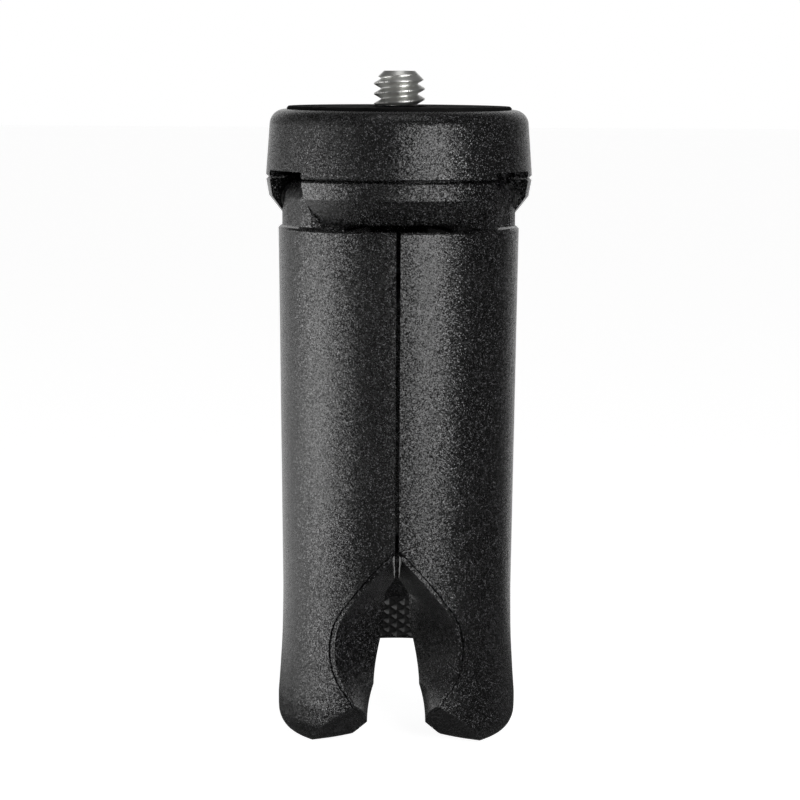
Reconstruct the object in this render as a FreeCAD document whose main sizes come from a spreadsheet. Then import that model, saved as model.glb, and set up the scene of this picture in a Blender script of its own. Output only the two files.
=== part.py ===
import FreeCAD, Part
import math
import os
import Sketcher
from FreeCAD import Placement, Rotation, Vector

# A pocket table tripod: a round head with a camera screw, and three legs that close into a round handle.
# Millimetres, +Z up. The origin is on the head's axis, at the top face of the rubber seat. The front is -Y.
# Two legs stand closed at the front, and the rear leg is swung back, as the real object was set down.

SIZES = [
    # Camera screw
    ("thread_radius", 3.175, "major radius of the quarter inch camera thread"),
    ("thread_reach", 4.4, "how far the screw stands above the seat"),
    ("thread_bevel", 1.2, "bevel at the screw's tip"),
    ("shank_inset", 0.275, "how much thinner the screw's shank is under the thread"),
    ("hex_corner", 4.9, "corner radius of the screw's hexagon head"),
    ("hex_height", 3.0, "height of the hexagon head"),
    # Rubber seat
    ("seat_margin", 0.25, "flat rim of the cap round the rubber seat"),
    ("seat_proud", 0.4, "how far the seat stands above the cap"),
    ("seat_sink", 1.0, "depth of the seat's recess in the cap"),
    ("seat_bevel", 0.2, "bevel on the seat's rim"),
    ("seat_hole_gap", 0.4, "room round the screw in the seat and the cap"),
    # Cap
    ("cap_skirt_radius", 16.65, "radius at the foot of the skirt, which the whole tripod follows"),
    ("cap_draft", 0.45, "how much narrower the skirt is at its top"),
    ("cap_edge_round", 1.9, "round of the cap's top edge"),
    ("cap_height", 8.3, "height of the cap from its rim to the parting line"),
    ("cap_wall", 1.8, "thickness of the skirt"),
    ("cap_roof", 2.0, "thickness of the roof under the seat's recess"),
    ("cap_boss_wall", 2.3, "wall of the boss round the screw's head"),
    ("parting_bevel", 0.22, "bevel on the skirt's lower edge"),
    ("parting_gap", 0.18, "shadow gap between skirt and hub"),
    ("notch_rise", 0.85, "notch in the skirt above each leg"),
    # Hub
    ("hub_inset", 0.05, "how far the hub stands behind the skirt"),
    ("hub_draft", 0.35, "how much narrower the hub is at the foot of its upright band"),
    ("hub_chamfer", 2.35, "how much narrower still its lower face is"),
    ("hub_band", 2.4, "height of the upright band"),
    ("hub_height", 5.4, "height of the hub"),
    ("slot_width", 8.2, "width of each leg's slot"),
    ("slot_back", 3.0, "distance of the slot's inner wall behind the hinge pin"),
    ("hub_screw_inset", 6.65, "distance of the ring of hub screws inside the skirt"),
    ("hub_screw_radius", 1.0, "shank radius of a hub screw"),
    ("hub_screw_head", 1.9, "head radius of a hub screw"),
    ("hub_screw_head_height", 1.3, "head height of a hub screw"),
    ("hub_screw_bite", 3.6, "how far a hub screw reaches into the cap"),
    ("hub_counterbore", 1.6, "depth of a hub screw's counterbore"),
    ("post_radius", 2.4, "screw post inside the cap"),
    # Hinge
    ("hinge_inset", 4.25, "distance of a hinge pin inside the skirt"),
    ("hinge_drop", 2.7, "depth of a hinge pin below the parting line"),
    ("pin_radius", 1.0, "radius of a hinge pin"),
    ("pin_seat", 2.5, "length of each end of a pin in the hub"),
    ("pin_play", 0.05, "radial play of the knuckle on its pin"),
    ("seat_play", 0.03, "play of a part in its seat"),
    ("knuckle_radius", 2.5, "radius of a leg's knuckle"),
    ("neck_play", 0.35, "room on each side of a leg's neck in its slot"),
    ("neck_inset", 0.08, "how far the neck's outer face stands behind the leg's cover"),
    ("neck_taper_width", 2.0, "half width of the neck's outer face at the height of the pin's top"),
    ("neck_taper_drop", 2.3, "how far below the pin that taper begins"),
    ("neck_taper_depth", 1.073, "how deep the taper cuts, as a share of its width"),
    ("washer_radius", 2.1, "outer radius of a friction washer"),
    ("washer_thickness", 0.3, "thickness of a friction washer"),
    ("leaf_thickness", 0.42, "thickness of the leaf spring"),
    ("leaf_width", 7.0, "width of the leaf spring"),
    ("leaf_relief", 0.5, "hollow behind the leaf spring, where it can give"),
    ("leaf_margin", 0.3, "how much shorter the spring is than the hub"),
    ("keeper_width", 1.8, "rib of the cap that holds a pin down"),
    ("keeper_margin", 0.3, "how far the rib stands clear of the slot and of the pin's end"),
    # Leg
    ("leg_gap", 0.82, "gap between the hub and the legs' top"),
    ("leg_length", 64.33, "length of a leg below the hub"),
    ("leg_slit", 2.1, "angle of the slit between closed legs, in degrees"),
    ("core_slit", 5.0, "angle of the wider slit between the legs' cores, in degrees"),
    ("leg_inset", 1.57, "how far the legs' top stands behind the skirt"),
    ("ankle_taper", 0.61, "how much narrower the ankle is than the top"),
    ("foot_taper", 0.05, "how much narrower the foot is than the top"),
    ("ankle_height", 18.75, "height of the ankle above the leg's lowest point"),
    ("leg_flare", 163.0, "radius of the curve from ankle to foot"),
    ("flare_margin", 5.0, "height above the leg's lowest point at which that curve ends"),
    ("foot_round", 3.0, "round of the foot's outer edge"),
    ("foot_rise", 12.0, "slope of the foot's underside, up towards the axis, in degrees"),
    ("end_round", 6.0, "round of the foot's tip, seen from outside"),
    ("end_slope", 38.0, "slope of the foot's end on both sides of the tip, in degrees"),
    ("cover_wall", 2.3, "thickness of a leg's cover at its top"),
    ("cover_edge", 0.25, "bevel on the cover's top edge"),
    ("cover_lip", 0.9, "how far the cover's top slopes down to its inside"),
    ("cover_play", 0.05, "gap between cover and core"),
    ("core_drop", 1.2, "how far the core's top lies below the cover's"),
    ("neck_gap", 0.3, "gap between the neck and the cover's top"),
    ("spine_inner", 3.2, "distance of the core's inner face from the axis"),
    ("rim_width", 0.7, "width of the core's rim that lines the arch"),
    ("rim_gap", 0.14, "gap between that rim and the cover"),
    ("rim_sink", 0.2, "how far the rim stands behind the cover's outer face"),
    # Arch cut into both sides of each leg, drawn on an inner and an outer plane
    ("arch_near", 1.0, "distance of the inner plane from the axis"),
    ("arch_far", 16.0, "distance of the outer plane from the axis"),
    ("arch_height", 24.85, "height of the arch's apex above the leg's lowest point"),
    ("arch_apex_near", 8.76, "apex, from the leg's middle, on the inner plane"),
    ("arch_apex_far", 17.8, "apex, from the leg's middle, on the outer plane"),
    ("arch_upper_drop", 6.7, "drop from the apex to where the upper straight meets the curve"),
    ("arch_upper_near", 0.9, "that point on the inner plane"),
    ("arch_upper_far", 11.7, "that point on the outer plane"),
    ("arch_lower_drop", 11.0, "drop from there to where the curve meets the lower straight"),
    ("arch_lower_near", 0.6, "that point on the inner plane"),
    ("arch_lower_far", 12.1, "that point on the outer plane"),
    ("arch_bend_near", 40.0, "radius of the curve on the inner plane"),
    ("arch_bend_far", 6.0, "radius of the curve on the outer plane"),
    ("arch_toe_drop", 7.9, "drop from there to where the lower straight ends"),
    ("arch_toe_near", -10.0, "that point on the inner plane"),
    ("arch_toe_far", 26.5, "that point on the outer plane"),
    # Ribbed inner face of the core
    ("cell_margin", 7.0, "distance of the first hollow below the leg's top"),
    ("cell_height", 7.7, "height of a hollow"),
    ("cell_pitch", 9.2, "distance from one hollow to the next"),
    ("cell_rows", 4, "rows of hollows"),
    ("cell_inner", 0.8, "half thickness of the middle rib"),
    ("cell_outer", 6.0, "outer side of a hollow, from the leg's middle"),
    ("cell_floor", 3.1, "wall left between a hollow and the cover's inside"),
    # Cover screws
    ("cover_screw_margin", 4.2, "distance of the upper cover screw below the leg's top"),
    ("cover_screw_low", 5.2, "distance of the lower cover screw below the arch's apex"),
    ("cover_screw_radius", 0.8, "shank radius"),
    ("cover_screw_head", 1.45, "head radius"),
    ("cover_screw_head_height", 1.1, "head height"),
    ("cover_screw_bite", 0.3, "how far the screw's tip reaches into the cover's wall"),
    ("screw_play", 0.15, "play round a screw's shank and head"),
    ("boss_radius", 2.0, "boss on the inside of the cover"),
    ("boss_length", 2.3, "length of the boss"),
    ("boss_seat", 2.0, "thickness of core between the screw's head and the boss"),
    # Foot pad
    ("foot_plane_radius", 8.34, "distance of the foot's inner face from the axis, at the foot's level"),
    ("foot_tilt", 20.0, "slope of the foot's inner face, which lies flat when the leg is open, in degrees"),
    ("pad_length", 8.7, "length of the pad along the foot's face"),
    ("pad_rim", 1.9, "foot's edge below the pad"),
    ("pad_top_half", 2.3, "half width of the pad at its upper end"),
    ("pad_foot_half", 4.4, "half width of the pad at its lower end"),
    ("pad_end_bend", 30.0, "radius of the pad's curved lower end"),
    ("pad_base", 0.6, "depth of the pad's recess"),
    ("pad_border", 0.35, "flat border round the diamonds"),
    ("diamond_pitch", 1.5, "distance from one raised diamond to the next"),
    ("diamond_height", 0.55, "height of a raised diamond"),
    ("diamond_flat", 0.3, "flat on top of a diamond"),
    ("diamond_gap", 0.3, "gap between diamonds at their foot"),
    ("diamond_rows", 10, "grooves each way across a pad"),
    # Making
    ("overcut", 2.0, "how far a cut runs past the face that it opens"),
    # Pose
    ("rear_swing", 23.3, "how far the rear leg is swung back, in degrees"),
]

# The legs' places round the head, in degrees from +X.
LEGS = [("left", 210.0), ("right", 330.0), ("rear", 90.0)]

doc = FreeCAD.newDocument("table_tripod")
sheet = doc.addObject("Spreadsheet::Sheet", "Sizes")
NAMES = {}
for row, (alias, amount, meaning) in enumerate(SIZES, start=1):
    sheet.set(f"A{row}", str(amount))
    sheet.setAlias(f"A{row}", alias)
    sheet.set(f"B{row}", meaning)
    NAMES[alias] = f"Sizes.{alias}"
doc.recompute()

# Depths and radii that follow from the sizes, as formulas over the sheet's names.
CAP_TOP = "(-{seat_proud})"
RECESS_FLOOR = f"({CAP_TOP}-{{seat_sink}})"
ROOF_UNDERSIDE = f"({RECESS_FLOOR}-{{cap_roof}})"
PARTING = f"({CAP_TOP}-{{cap_height}})"
BAND_FOOT = f"({PARTING}-{{hub_band}})"
HUB_FOOT = f"({PARTING}-{{hub_height}})"
CAP_SHOULDER = "({cap_skirt_radius}-{cap_draft})"
CAP_RIM = f"({CAP_SHOULDER}-{{cap_edge_round}})"
SEAT_RADIUS = f"({CAP_RIM}-{{seat_margin}})"
CAVITY = "({cap_skirt_radius}-{cap_wall})"
BOSS_RADIUS = "({hex_corner}+{cap_boss_wall})"
HUB_RADIUS = "({cap_skirt_radius}-{hub_inset})"
BAND_RADIUS = f"({HUB_RADIUS}-{{hub_draft}})"
HUB_FOOT_RADIUS = f"({BAND_RADIUS}-{{hub_chamfer}})"
SCREW_HOLE = "({thread_radius}+{seat_hole_gap})"
SCREW_RING = "({cap_skirt_radius}-{hub_screw_inset})"
HALF_SLOT = "({slot_width}/2)"
HINGE_RADIUS = "({cap_skirt_radius}-{hinge_inset})"
HINGE_LEVEL = f"({PARTING}-{{hinge_drop}})"
SLOT_FLOOR = f"({HINGE_RADIUS}-{{slot_back}})"
PIN_LENGTH = "({slot_width}+2*{pin_seat})"
HALF_NECK = f"({HALF_SLOT}-{{neck_play}})"
LEG_TOP = f"({HUB_FOOT}-{{leg_gap}})"
LEG_FOOT = f"({LEG_TOP}-{{leg_length}})"
TOP_RADIUS = "({cap_skirt_radius}-{leg_inset})"
ANKLE_RADIUS = f"({TOP_RADIUS}-{{ankle_taper}})"
TOE_RADIUS = f"({TOP_RADIUS}-{{foot_taper}})"
ANKLE_LEVEL = f"({LEG_FOOT}+{{ankle_height}})"
FLARE_FOOT = f"({LEG_FOOT}+{{flare_margin}})"
ROUND_LEVEL = f"({LEG_FOOT}+{{foot_round}})"
NECK_RADIUS = f"({TOP_RADIUS}-{{neck_inset}})"
COVER_INNER = f"({TOP_RADIUS}-{{cover_wall}})"
CORE_OUTER = f"({COVER_INNER}-{{cover_play}})"
CORE_TOP = f"({LEG_TOP}-{{core_drop}})"
ARCH_APEX = f"({LEG_FOOT}+{{arch_height}})"
HALF_COVER = "(60-{leg_slit}/2)"
HALF_CORE = "(60-{core_slit}/2)"
PAST_FOOT = f"({LEG_FOOT}-{{overcut}})"
UPPER_SCREW = f"({LEG_TOP}-{{cover_screw_margin}})"
LOWER_SCREW = f"({ARCH_APEX}-{{cover_screw_low}})"
BOSS_START = f"({COVER_INNER}-{{boss_length}})"
SCREW_SEAT = f"({BOSS_START}-{{boss_seat}})"
SCREW_END = f"({COVER_INNER}+{{cover_screw_bite}})"
PAD_MIDDLE = "({pad_rim}+{pad_length}/2)"
PAD_X = f"({{foot_plane_radius}}-{PAD_MIDDLE}*sin({{foot_tilt}}))"
PAD_Z = f"({LEG_FOOT}+{PAD_MIDDLE}*cos({{foot_tilt}}))"
OUTSIDE = "(2*{arch_apex_far})"
SCREW_PLACE = (f"{SCREW_RING}*cos(60)", f"{SCREW_RING}*sin(60)")

node_objects = []


def number(text):
    """The value of a formula over the sheet's names."""
    return float(sheet.evalExpression(text.format(**NAMES)))


def bind(thing, name, text):
    """Tie one property of an object to the sheet."""
    thing.setExpression(name, text.format(**NAMES))


def node(thing, label, placement):
    """Give a finished sub-part its name and its place, and keep it for the export."""
    thing.Label = label
    thing.Placement = placement
    node_objects.append(thing)


def origin_part(body, role):
    """One of a body's own origin planes or axes."""
    return next(item for item in body.Origin.OriginFeatures if item.Role == role)


class Drawing:
    """A sketch on one of a body's own origin planes, with every point tied to the sheet."""

    def __init__(self, body, name, plane, shift="0"):
        self.body = body
        self.sketch = body.newObject("Sketcher::SketchObject", f"{body.Name}_{name}_sketch")
        self.sketch.AttachmentSupport = [(origin_part(body, plane), "")]
        self.sketch.MapMode = "FlatFace"
        bind(self.sketch, ".AttachmentOffset.Base.z", shift)

    def limit(self, kind, arguments, text):
        """Add a dimension and tie its value to the sheet."""
        index = self.sketch.addConstraint(Sketcher.Constraint(kind, *arguments, number(text)))
        bind(self.sketch, f"Constraints[{index}]", text)

    def pin(self, edge, end, x, y):
        """Fix one point of an edge from the sketch's origin."""
        self.limit("DistanceX", (-1, 1, edge, end), x)
        self.limit("DistanceY", (-1, 1, edge, end), y)

    def circle(self, x, y, radius):
        """A full circle."""
        centre = Vector(number(x), number(y), 0)
        edge = self.sketch.addGeometry(Part.Circle(centre, Vector(0, 0, 1), number(radius)))
        self.pin(edge, 3, x, y)
        self.limit("Radius", (edge,), radius)
        return self

    def loop(self, corners):
        """A closed loop. A corner is (x, y), or (x, y, radius, turn) where an arc leaves it, and turn is the
        side that the arc turns to, left or right."""
        spots = [Vector(number(corner[0]), number(corner[1]), 0) for corner in corners]
        edges = []
        for index, corner in enumerate(corners):
            start = spots[index]
            stop = spots[(index + 1) % len(spots)]
            if len(corner) == 2:
                edges.append((self.sketch.addGeometry(Part.LineSegment(start, stop)), 1, 2))
            else:
                edges.append(self.arc(start, stop, corner[2], corner[3]))
        for before, after, corner in zip(edges[-1:] + edges[:-1], edges, corners):
            self.sketch.addConstraint(Sketcher.Constraint("Coincident", before[0], before[2], after[0], after[1]))
            self.pin(after[0], after[1], corner[0], corner[1])
            if len(corner) == 4:
                self.limit("Radius", (after[0],), corner[2])
        return self

    def arc(self, start, stop, radius, turn):
        """The shorter arc from start to stop, and which of its ends come first and last."""
        size = number(radius)
        chord = stop - start
        across = Vector(-chord.y, chord.x, 0).normalize()
        if turn == "right":
            across = -across
        centre = (start + stop) * 0.5 + across * math.sqrt(max(size ** 2 - (chord.Length / 2) ** 2, 0))
        begin, finish = (stop, start) if turn == "right" else (start, stop)
        angles = [math.atan2(spot.y - centre.y, spot.x - centre.x) for spot in (begin, finish)]
        circle = Part.Circle(centre, Vector(0, 0, 1), size)
        edge = self.sketch.addGeometry(Part.ArcOfCircle(circle, angles[0], angles[1]))
        return (edge, 2, 1) if turn == "right" else (edge, 1, 2)


def hexagon(corner_radius):
    """Corners of a hexagon about the Z axis."""
    return [(f"{corner_radius}*cos({60 * corner})", f"{corner_radius}*sin({60 * corner})") for corner in range(6)]


def new_body(name):
    return doc.addObject("PartDesign::Body", name)


def extrude(drawing, kind, name, length, sides="One side", reverse=False):
    """Pad or pocket a drawing."""
    feature = drawing.body.newObject(f"PartDesign::{kind}", f"{drawing.body.Name}_{name}")
    feature.Profile = drawing.sketch
    feature.SideType = sides
    feature.Reversed = reverse
    bind(feature, "Length", length)
    drawing.sketch.Visibility = False
    return feature


def revolve(drawing, name, angle="360"):
    """Turn a drawing about the Z axis, evenly to both sides of its plane."""
    feature = drawing.body.newObject("PartDesign::Revolution", f"{drawing.body.Name}_{name}")
    feature.Profile = drawing.sketch
    feature.ReferenceAxis = (origin_part(drawing.body, "Z_Axis"), [""])
    feature.Midplane = True
    bind(feature, "Angle", angle)
    return feature


def around(body, features, name, count=3):
    """Repeat features round the Z axis."""
    pattern = body.newObject("PartDesign::PolarPattern", f"{body.Name}_{name}")
    pattern.Originals = features
    pattern.Axis = (origin_part(body, "Z_Axis"), [""])
    pattern.Angle = 360
    pattern.Occurrences = count
    body.Tip = pattern
    return pattern


def along(body, feature, name, axis, length, count, reverse=False):
    """Repeat a feature along one of the body's axes."""
    pattern = body.newObject("PartDesign::LinearPattern", f"{body.Name}_{name}")
    pattern.Originals = [feature]
    pattern.Direction = (origin_part(body, axis), [""])
    pattern.Reversed = reverse
    bind(pattern, "Length", length)
    bind(pattern, "Occurrences", count)
    body.Tip = pattern
    return pattern


def mirror(body, feature, name, plane="XZ_Plane"):
    """Repeat a feature on the other side of one of the body's planes."""
    pattern = body.newObject("PartDesign::Mirrored", f"{body.Name}_{name}")
    pattern.Originals = [feature]
    pattern.MirrorPlane = (origin_part(body, plane), [""])
    body.Tip = pattern
    return pattern


def rod(name, radius, length, x="0", y="0", z="0", turn=None):
    """A cylinder that starts at x, y, z and runs along Z, or along the direction in turn."""
    cylinder = doc.addObject("Part::Cylinder", name)
    bind(cylinder, "Radius", radius)
    bind(cylinder, "Height", length)
    bind(cylinder, ".Placement.Base.x", x)
    bind(cylinder, ".Placement.Base.y", y)
    bind(cylinder, ".Placement.Base.z", z)
    if turn is not None:
        cylinder.Placement.Rotation = Rotation(Vector(0, 0, 1), turn)
    return cylinder


def fuse(name, pieces):
    joined = doc.addObject("Part::MultiFuse", name)
    joined.Shapes = pieces
    return joined


def group(name, pieces):
    """Separate solids that share one node."""
    together = doc.addObject("Part::Compound", name)
    together.Links = pieces
    return together


def head_place():
    """The head is drawn with its first slot along +X, which faces the rear leg's side."""
    return Placement(Vector(0, 0, 0), Rotation(Vector(0, 0, 1), LEGS[2][1]))


def slot_place(angle):
    """Place of what stays in a leg's slot."""
    return Placement(Vector(0, 0, 0), Rotation(Vector(0, 0, 1), angle))


def leg_place(angle, swing):
    """Place of a leg that is swung outward about its hinge pin."""
    hinge = Vector(number(HINGE_RADIUS), 0, number(HINGE_LEVEL))
    swung = Placement(Vector(0, 0, 0), Rotation(Vector(0, -1, 0), swing), hinge)
    return slot_place(angle).multiply(swung)


# Head


def rubber_seat():
    body = new_body("seat")
    profile = Drawing(body, "ring", "XZ_Plane").loop([
        (SCREW_HOLE, RECESS_FLOOR), (SEAT_RADIUS, RECESS_FLOOR), (SEAT_RADIUS, "-{seat_bevel}"),
        (f"{SEAT_RADIUS}-{{seat_bevel}}", "0"), (SCREW_HOLE, "0")])
    revolve(profile, "ring")
    node(body, "rubber_seat", head_place())


def head_cap():
    body = new_body("cap")
    profile = Drawing(body, "shell", "XZ_Plane").loop([
        (SCREW_HOLE, RECESS_FLOOR), (f"{SEAT_RADIUS}+{{seat_play}}", RECESS_FLOOR),
        (f"{SEAT_RADIUS}+{{seat_play}}", CAP_TOP),
        (CAP_RIM, CAP_TOP, "{cap_edge_round}", "right"), (CAP_SHOULDER, f"{CAP_TOP}-{{cap_edge_round}}"),
        ("{cap_skirt_radius}", f"{PARTING}+{{parting_bevel}}"),
        ("{cap_skirt_radius}-{parting_bevel}", PARTING), (CAVITY, PARTING), (CAVITY, ROOF_UNDERSIDE),
        (BOSS_RADIUS, ROOF_UNDERSIDE), (BOSS_RADIUS, PARTING), (SCREW_HOLE, PARTING)])
    revolve(profile, "shell")
    head_room = Drawing(body, "hexagon", "XY_Plane", PARTING).loop(hexagon("({hex_corner}+{seat_play})"))
    extrude(head_room, "Pocket", "hexagon", f"{ROOF_UNDERSIDE}-{PARTING}", reverse=True)
    notch = Drawing(body, "notch", "XY_Plane", PARTING).loop([
        (f"{CAVITY}-{{overcut}}/2", f"-{HALF_SLOT}"), ("{cap_skirt_radius}+{overcut}", f"-{HALF_SLOT}"),
        ("{cap_skirt_radius}+{overcut}", HALF_SLOT), (f"{CAVITY}-{{overcut}}/2", HALF_SLOT)])
    notched = extrude(notch, "Pocket", "notch", "{notch_rise}", reverse=True)
    around(body, [notched], "notches")
    post = extrude(Drawing(body, "post", "XY_Plane", PARTING).circle(*SCREW_PLACE, "{post_radius}"),
                   "Pad", "post", f"{ROOF_UNDERSIDE}-{PARTING}+{{cap_roof}}/2")
    around(body, [post], "posts")
    pilot = extrude(Drawing(body, "pilot", "XY_Plane", PARTING).circle(*SCREW_PLACE, "{hub_screw_radius}"),
                    "Pocket", "pilot", "{hub_screw_bite}+2*{screw_play}", reverse=True)
    around(body, [pilot], "pilots")
    keeper = Drawing(body, "keeper", "XY_Plane", ROOF_UNDERSIDE)
    near = f"({HALF_SLOT}+{{keeper_margin}})"
    far = f"({PIN_LENGTH}/2-{{keeper_margin}})"
    inner, outer = f"{HINGE_RADIUS}-{{keeper_width}}/2", f"{HINGE_RADIUS}+{{keeper_width}}/2"
    for low, high in ((near, far), (f"-{far}", f"-{near}")):
        keeper.loop([(inner, low), (outer, low), (outer, high), (inner, high)])
    rib = extrude(keeper, "Pad", "keeper", f"{ROOF_UNDERSIDE}-{HINGE_LEVEL}-{{pin_radius}}-{{seat_play}}",
                  reverse=True)
    around(body, [rib], "keepers")
    node(body, "head_cap", head_place())


def camera_screw():
    body = new_body("screw")
    shank = "({thread_radius}-{shank_inset})"
    stem = Drawing(body, "stem", "XZ_Plane").loop([
        ("0", ROOF_UNDERSIDE), (shank, ROOF_UNDERSIDE), (shank, "0"), ("{thread_radius}", "0"),
        ("{thread_radius}", "{thread_reach}-{thread_bevel}"), ("{thread_radius}-{thread_bevel}", "{thread_reach}"),
        ("0", "{thread_reach}")])
    revolve(stem, "stem")
    head = Drawing(body, "head", "XY_Plane", ROOF_UNDERSIDE).loop(hexagon("{hex_corner}"))
    extrude(head, "Pad", "head", "{hex_height}", reverse=True)
    node(body, "camera_screw", head_place())


def screw_plug():
    body = new_body("plug")
    below_head = f"{ROOF_UNDERSIDE}-{{hex_height}}"
    plug = Drawing(body, "plug", "XY_Plane", below_head).loop(hexagon("{hex_corner}"))
    extrude(plug, "Pad", "plug", f"{below_head}-{PARTING}", reverse=True)
    node(body, "screw_plug", head_place())


def hub_body():
    body = new_body("hub")
    shelf = f"({CAVITY}-{{parting_gap}})"
    step = f"({PARTING}-{{parting_gap}})"
    profile = Drawing(body, "hub", "XZ_Plane").loop([
        ("0", PARTING), (shelf, PARTING), (shelf, step), (f"{HUB_RADIUS}-{{parting_bevel}}", step),
        (HUB_RADIUS, f"{step}-{{parting_bevel}}"), (BAND_RADIUS, BAND_FOOT), (HUB_FOOT_RADIUS, HUB_FOOT),
        ("0", HUB_FOOT)])
    revolve(profile, "hub")
    slot = Drawing(body, "slot", "XY_Plane", PARTING).loop([
        (SLOT_FLOOR, f"-{HALF_SLOT}"), (f"{HUB_RADIUS}+{{overcut}}", f"-{HALF_SLOT}"),
        (f"{HUB_RADIUS}+{{overcut}}", HALF_SLOT), (SLOT_FLOOR, HALF_SLOT)])
    slotted = extrude(slot, "Pocket", "slot", "{hub_height}")
    around(body, [slotted], "slots")
    bore = "({pin_radius}+{seat_play})"
    channel = Drawing(body, "channel", "XZ_Plane").loop([
        (f"{HINGE_RADIUS}-{bore}", PARTING), (f"{HINGE_RADIUS}-{bore}", HINGE_LEVEL, bore, "left"),
        (HINGE_RADIUS, f"{HINGE_LEVEL}-{bore}", bore, "left"), (f"{HINGE_RADIUS}+{bore}", HINGE_LEVEL),
        (f"{HINGE_RADIUS}+{bore}", PARTING)])
    channelled = extrude(channel, "Pocket", "channel", f"{PIN_LENGTH}+2*{{seat_play}}", "Symmetric")
    around(body, [channelled], "channels")
    back, front = f"({SLOT_FLOOR}-{{leaf_relief}})", f"({SLOT_FLOOR}+{{leaf_relief}}/5)"
    relief = Drawing(body, "relief", "XZ_Plane").loop([
        (back, f"{PARTING}-{{leaf_relief}}*2"), (front, f"{PARTING}-{{leaf_relief}}*2"),
        (front, f"{HUB_FOOT}+{{leaf_relief}}*2"), (back, f"{HUB_FOOT}+{{leaf_relief}}*2")])
    relieved = extrude(relief, "Pocket", "relief", "{leaf_width}-2*{leaf_relief}", "Symmetric")
    around(body, [relieved], "reliefs")
    hole = Drawing(body, "hole", "XY_Plane", PARTING).circle(*SCREW_PLACE, "{hub_screw_radius}+{screw_play}")
    hole = extrude(hole, "Pocket", "hole", "{hub_height}")
    around(body, [hole], "holes")
    sunk = Drawing(body, "sunk", "XY_Plane", HUB_FOOT).circle(*SCREW_PLACE, "{hub_screw_head}+{screw_play}")
    sunk = extrude(sunk, "Pocket", "sunk", "{hub_counterbore}", reverse=True)
    around(body, [sunk], "sinks")
    node(body, "hub_body", head_place())


def hub_screws():
    screws = []
    head_seat = f"{HUB_FOOT}+{{hub_counterbore}}"
    for index in range(3):
        angle = 60 + 120 * index
        x = f"{SCREW_RING}*cos({angle})"
        y = f"{SCREW_RING}*sin({angle})"
        shank = rod(f"hub_screw_shank_{index}", "{hub_screw_radius}",
                    "{hub_height}-{hub_counterbore}+{hub_screw_bite}", x, y, head_seat)
        head = rod(f"hub_screw_head_{index}", "{hub_screw_head}", "{hub_screw_head_height}", x, y,
                   f"{head_seat}-{{hub_screw_head_height}}")
        screws.append(fuse(f"hub_screw_{index}", [shank, head]))
    node(group("hub_screw_set", screws), "hub_screws", head_place())


# Hinge of one leg


def hinge_pin(side, angle):
    pin = rod(f"{side}_pin", "{pin_radius}", PIN_LENGTH, HINGE_RADIUS, f"-{PIN_LENGTH}/2", HINGE_LEVEL,
              Vector(0, 1, 0))
    node(group(f"{side}_pin_set", [pin]), f"{side}_hinge_pin", slot_place(angle))


def hinge_washers(side, angle):
    rings = []
    for sign in (-1, 1):
        name = f"{side}_washer_{'low' if sign < 0 else 'high'}"
        start = f"{sign}*({HALF_NECK}+{{neck_play}}/2)-{{washer_thickness}}/2"
        disc, hole = [
            rod(f"{name}_{kind}", radius, "{washer_thickness}", HINGE_RADIUS, start, HINGE_LEVEL, Vector(0, 1, 0))
            for kind, radius in (("disc", "{washer_radius}"), ("hole", "{pin_radius}+{seat_play}"))]
        ring = doc.addObject("Part::Cut", name)
        ring.Base = disc
        ring.Tool = hole
        rings.append(ring)
    node(group(f"{side}_washer_set", rings), f"{side}_hinge_washers", slot_place(angle))


def leaf_spring(side, angle):
    body = new_body(f"{side}_leaf")
    front = f"({SLOT_FLOOR}+{{leaf_thickness}})"
    top, foot = f"({PARTING}-{{leaf_margin}}/3)", f"({HUB_FOOT}+{{leaf_margin}})"
    strip = Drawing(body, "strip", "XZ_Plane").loop([
        (SLOT_FLOOR, top), (front, top), (front, foot), (SLOT_FLOOR, foot)])
    extrude(strip, "Pad", "strip", "{leaf_width}", "Symmetric")
    node(body, f"{side}_leaf_spring", slot_place(angle))


# One leg, drawn closed, with its outward direction along +X


def arch_sections(body, shrink, beyond):
    """The arch's outline on the inner and the outer plane, closed on the side that lies beyond."""
    sections = []
    for plane, turn in (("near", "right"), ("far", "left")):
        def spot(name, level):
            return "{arch_" + name + "_" + plane + "}-" + shrink, level
        upper = f"({ARCH_APEX}-{{arch_upper_drop}})"
        lower = f"({upper}-{{arch_lower_drop}})"
        toe = f"({lower}-{{arch_toe_drop}})"
        above = f"{ARCH_APEX}+{{arch_upper_drop}}"
        drawing = Drawing(body, f"arch_{plane}", "YZ_Plane", "{arch_" + plane + "}").loop([
            (*spot("upper", upper), "{arch_bend_" + plane + "}", turn), spot("lower", lower), spot("toe", toe),
            (beyond, toe), (beyond, above), ("{arch_apex_" + plane + "}+{arch_upper_drop}", above),
            spot("apex", ARCH_APEX)])
        sections.append(drawing.sketch)
    return sections


def loft(body, kind, sections):
    """A ruled solid between two outlines, added or cut away."""
    feature = body.newObject(f"PartDesign::{kind}", f"{body.Name}_arch")
    feature.Profile = sections[0]
    feature.Sections = sections[1:]
    feature.Ruled = True
    return feature


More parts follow.
